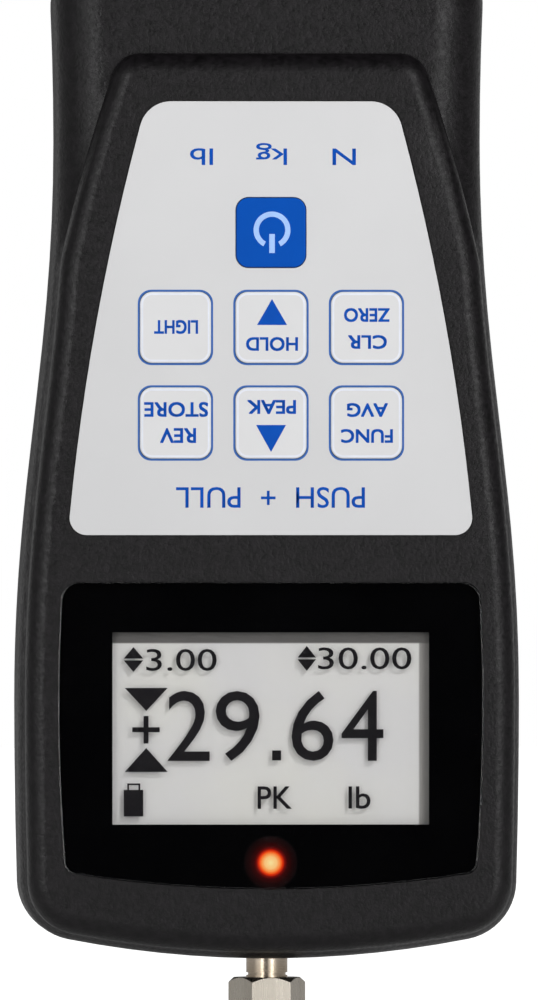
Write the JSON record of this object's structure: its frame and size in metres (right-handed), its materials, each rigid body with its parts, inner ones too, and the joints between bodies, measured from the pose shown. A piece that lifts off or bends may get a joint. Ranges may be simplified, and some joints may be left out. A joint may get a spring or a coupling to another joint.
{
  "type": "force gauge",
  "caption": "Hand-held digital force gauge: waisted two-part black casing with display, membrane keypad, status lamp, sockets, sensor and a steel rod with hexagon coupling.",
  "frame": {"origin": "centre of the four threaded mounting holes, on the rear face", "axes": "+Z along the measuring axis towards the handle's end, +Y out of the rear face, the display faces -Y, +X to the right seen from the display"},
  "size_m": [0.097, 0.0422, 0.2287],
  "materials": {
    "housing": "fine moulded texture",
    "steel_screws": "zinc plated",
    "brass_inserts": "turned",
    "window": "polished acrylic",
    "black_print": "screen printed film",
    "foam": "closed-cell foam",
    "front_glass": "clear front glass",
    "display": "liquid-crystal glass with reflector",
    "light_guide": "diffusing acrylic",
    "white_plastic": "moulded",
    "lamp": "clear tinted epoxy",
    "overlay_film": "satin polyester film",
    "key_film": "embossed polyester film",
    "power_film": "embossed polyester film",
    "circuit_board": "green solder mask",
    "black_plastic": "moulded",
    "ribbon": "flexible print",
    "bracket": "milled",
    "sensor_aluminium": "anodised",
    "foil": "etched foil",
    "grey_cable": "vinyl sheath",
    "red_cable": "vinyl insulation",
    "battery_wrap": "shrink film",
    "nickel": "rolled strip",
    "socket_shell": "tin plated",
    "shaft_steel": "turned and ground"
  },
  "bodies": {
    "housing": {"front_shell": "housing", "rear_shell": "housing", "housing_screws": "steel_screws", "mount_inserts": "brass_inserts", "display_lens": "window", "window_mask": "black_print", "lcd_gasket": "foam", "lcd_front_glass": "front_glass", "lcd_glass": "display", "lcd_backlight": "light_guide", "lcd_frame": "white_plastic", "status_led": "lamp", "keypad_overlay": "overlay_film", "keypad_board": "circuit_board", "snap_domes": "steel_screws", "keypad_board_screws": "steel_screws", "main_board": "circuit_board", "main_board_screws": "steel_screws", "board_chips": "black_plastic", "board_connectors": "white_plastic", "keypad_connector": "white_plastic", "keypad_ribbon": "ribbon", "chassis_bracket": "bracket", "chassis_screws": "steel_screws", "load_cell": "sensor_aluminium", "strain_gauges": "foil", "cell_bolt": "steel_screws", "cell_cable": "grey_cable", "nose_bush": "black_plastic", "battery_cells": "battery_wrap", "cell_links": "nickel", "battery_tray": "black_plastic", "battery_strap": "white_plastic", "tray_screws": "steel_screws", "battery_lead": "red_cable", "port_board": "circuit_board", "port_screws": "steel_screws", "data_socket": "socket_shell", "charge_socket": "black_plastic", "port_lead": "grey_cable"},
    "measuring_rod": {"measuring_shaft": "shaft_steel", "shaft_locknut": "shaft_steel", "stop_ring": "steel_screws", "hex_coupling": "shaft_steel"},
    "key_menu_button": {"key_menu": "key_film"},
    "key_up_button": {"key_up": "key_film"},
    "key_zero_button": {"key_zero": "key_film"},
    "key_store_button": {"key_store": "key_film"},
    "key_down_button": {"key_down": "key_film"},
    "key_function_button": {"key_function": "key_film"},
    "key_power_button": {"key_power": "power_film"}
  },
  "joints": [
    {"name": "shaft_slide", "type": "slide", "parent": "housing", "child": "measuring_rod", "axis": [0, 0, 1], "range_m": [-0.0003, 0.0003], "stiffness_N_per_m": 200000, "deforming": ["load_cell"]},
    {"name": "key_menu_press", "type": "slide", "parent": "housing", "child": "key_menu_button", "axis": [0, 1, 0], "range_m": [0, 0.0004], "stiffness_N_per_m": 7500},
    {"name": "key_up_press", "type": "slide", "parent": "housing", "child": "key_up_button", "axis": [0, 1, 0], "range_m": [0, 0.0004], "stiffness_N_per_m": 7500},
    {"name": "key_zero_press", "type": "slide", "parent": "housing", "child": "key_zero_button", "axis": [0, 1, 0], "range_m": [0, 0.0004], "stiffness_N_per_m": 7500},
    {"name": "key_store_press", "type": "slide", "parent": "housing", "child": "key_store_button", "axis": [0, 1, 0], "range_m": [0, 0.0004], "stiffness_N_per_m": 7500},
    {"name": "key_down_press", "type": "slide", "parent": "housing", "child": "key_down_button", "axis": [0, 1, 0], "range_m": [0, 0.0004], "stiffness_N_per_m": 7500},
    {"name": "key_function_press", "type": "slide", "parent": "housing", "child": "key_function_button", "axis": [0, 1, 0], "range_m": [0, 0.0004], "stiffness_N_per_m": 7500},
    {"name": "key_power_press", "type": "slide", "parent": "housing", "child": "key_power_button", "axis": [0, 1, 0], "range_m": [0, 0.0004], "stiffness_N_per_m": 7500}
  ]
}
